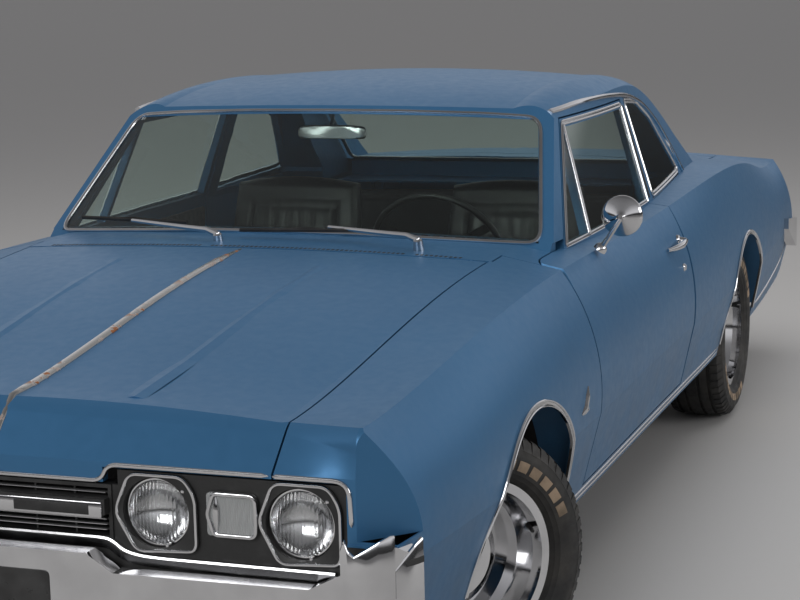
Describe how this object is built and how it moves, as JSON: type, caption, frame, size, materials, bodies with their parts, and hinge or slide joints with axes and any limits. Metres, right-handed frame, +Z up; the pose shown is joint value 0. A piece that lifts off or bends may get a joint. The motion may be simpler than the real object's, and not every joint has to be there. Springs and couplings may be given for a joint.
{
  "type": "two-door muscle car coupe",
  "caption": "Two-door coupe of the mid 1960s with a long hood, sail panels beside the rear window, quad headlamps, opening doors, hood and trunk, steering and rolling wheels.",
  "frame": {"origin": "on the ground, at the centre of the bounding box's bottom face, on the car's centre plane", "axes": "+Z up; -Y to the front of the car, +Y to its rear; +X to its left, the driver's side"},
  "size_m": [2.033, 5.187, 1.3801],
  "materials": {
    "paint": "satin metallic mid blue paint, lightly weathered",
    "underbody": "black chassis paint with road dirt",
    "glass": "clear laminated and tempered glass with a slight green tint",
    "lamp_glass": "fluted clear lens over a silvered bowl",
    "amber_lens": "clear ribbed plastic lens",
    "red_lens": "red ribbed plastic lens",
    "chrome": "polished chrome plate",
    "grille_black": "satin black paint",
    "engine_iron": "painted cast iron",
    "radiator_black": "satin black paint",
    "dash_blue": "satin blue paint and moulded blue plastic",
    "seat_vinyl": "black grained vinyl with sewn pleats",
    "exhaust_steel": "aluminised steel tube, dull",
    "antenna_steel": "stainless steel rod on a black base",
    "tyre": "black rubber with raised white marks"
  },
  "bodies": {
    "body": {"frame_rails": "underbody", "floor_pan": "underbody", "rockers": "paint", "fender_left": "paint", "fender_right": "paint", "cowl_panel": "paint", "roof_panel": "paint", "quarter_left": "paint", "quarter_right": "paint", "deck_panel": "paint", "tail_panel": "paint", "front_panel": "grille_black", "windshield": "glass", "rear_window": "glass", "quarter_glass": "glass", "front_bumper": "chrome", "rear_bumper": "chrome", "grille": "grille_black", "headlamp_bezels": "chrome", "headlamps": "lamp_glass", "turn_lamps": "amber_lens", "tail_lamps": "red_lens", "radiator": "radiator_black", "engine_block": "engine_iron", "driveline": "underbody", "dashboard": "dash_blue", "front_seats": "seat_vinyl", "rear_seat": "seat_vinyl", "front_suspension": "underbody", "rear_axle": "underbody", "exhaust": "exhaust_steel", "fuel_tank": "underbody", "wipers": "chrome", "antenna": "antenna_steel", "inside_mirror": "chrome"},
    "door_left": {"door_left": "paint", "door_left_glass": "glass", "side_mirror": "chrome"},
    "door_right": {"door_right": "paint", "door_right_glass": "glass"},
    "hood": {"hood": "paint"},
    "trunk_lid": {"trunk_lid": "paint"},
    "steering_wheel": {"steering_wheel": "dash_blue"},
    "relay_rod": {"relay_rod": "underbody"},
    "tie_rod_left": {"tie_rod_left": "underbody"},
    "tie_rod_right": {"tie_rod_right": "underbody"},
    "knuckle_left": {"knuckle_left": "underbody"},
    "wheel_front_left": {"rim_front_left": "chrome", "tyre_front_left": "tyre"},
    "wheel_rear_left": {"rim_rear_left": "chrome", "tyre_rear_left": "tyre"},
    "knuckle_right": {"knuckle_right": "underbody"},
    "wheel_front_right": {"rim_front_right": "chrome", "tyre_front_right": "tyre"},
    "wheel_rear_right": {"rim_rear_right": "chrome", "tyre_rear_right": "tyre"}
  },
  "joints": [
    {"name": "steer_left", "type": "hinge", "parent": "body", "child": "knuckle_left", "pos_m": [0.688, -1.6965, 0.326], "axis": [0, 0, 1], "range_deg": [-1, 69]},
    {"name": "steer_right", "type": "hinge", "parent": "body", "child": "knuckle_right", "pos_m": [-0.688, -1.6965, 0.326], "axis": [0, 0, 1], "range_deg": [-1, 69]},
    {"name": "relay_slide", "type": "slide", "parent": "body", "child": "relay_rod", "axis": [1, 0, 0], "range_m": [-0.14374, 0.004]},
    {"name": "tie_rod_left_swing", "type": "hinge", "parent": "relay_rod", "child": "tie_rod_left", "pos_m": [0.36911, -1.5665, 0.232], "axis": [0, 0, 1], "range_deg": [-15.35, 0.6]},
    {"name": "tie_rod_right_swing", "type": "hinge", "parent": "relay_rod", "child": "tie_rod_right", "pos_m": [-0.22942, -1.5665, 0.232], "axis": [0, 0, 1], "range_deg": [-15.35, 0.6]},
    {"name": "steering_wheel_turn", "type": "hinge", "parent": "body", "child": "steering_wheel", "pos_m": [0.37, -0.6765, 0.885], "axis": [0, 0.9135, 0.4067], "range_deg": [-20, 1110]},
    {"name": "door_left_hinge", "type": "hinge", "parent": "body", "child": "door_left", "pos_m": [0.925, -1.013, 0.6], "axis": [0, 0, -1], "range_deg": [0, 65]},
    {"name": "door_right_hinge", "type": "hinge", "parent": "body", "child": "door_right", "pos_m": [-0.925, -1.013, 0.6], "axis": [0, 0, 1], "range_deg": [0, 65]},
    {"name": "hood_hinge", "type": "hinge", "parent": "body", "child": "hood", "pos_m": [0, -1.1995, 0.952], "axis": [-1, 0, 0], "range_deg": [0, 50]},
    {"name": "trunk_hinge", "type": "hinge", "parent": "body", "child": "trunk_lid", "pos_m": [0, 1.1035, 0.904], "axis": [1, 0, 0], "range_deg": [0, 70]},
    {"name": "front_wheel_left_spin", "type": "hinge", "parent": "knuckle_left", "child": "wheel_front_left", "pos_m": [0.7593, -1.74459, 0.326], "axis": [0.829, -0.5592, 0], "continuous": true},
    {"name": "rear_wheel_left_spin", "type": "hinge", "parent": "body", "child": "wheel_rear_left", "pos_m": [0.787, 1.2245, 0.326], "axis": [1, 0, 0], "continuous": true},
    {"name": "front_wheel_right_spin", "type": "hinge", "parent": "knuckle_right", "child": "wheel_front_right", "pos_m": [-0.7593, -1.64841, 0.326], "axis": [0.829, -0.5592, 0], "continuous": true},
    {"name": "rear_wheel_right_spin", "type": "hinge", "parent": "body", "child": "wheel_rear_right", "pos_m": [-0.787, 1.2245, 0.326], "axis": [1, 0, 0], "continuous": true}
  ],
  "couplings": [
    {"joint": "steer_right", "follows": "steer_left", "ratio": 1},
    {"joint": "relay_slide", "follows": "steer_left", "m_per_rad": -0.11769},
    {"joint": "tie_rod_left_swing", "follows": "steer_left", "ratio": -0.21525},
    {"joint": "tie_rod_right_swing", "follows": "steer_left", "ratio": -0.21525},
    {"joint": "steering_wheel_turn", "follows": "steer_left", "ratio": 16}
  ]
}
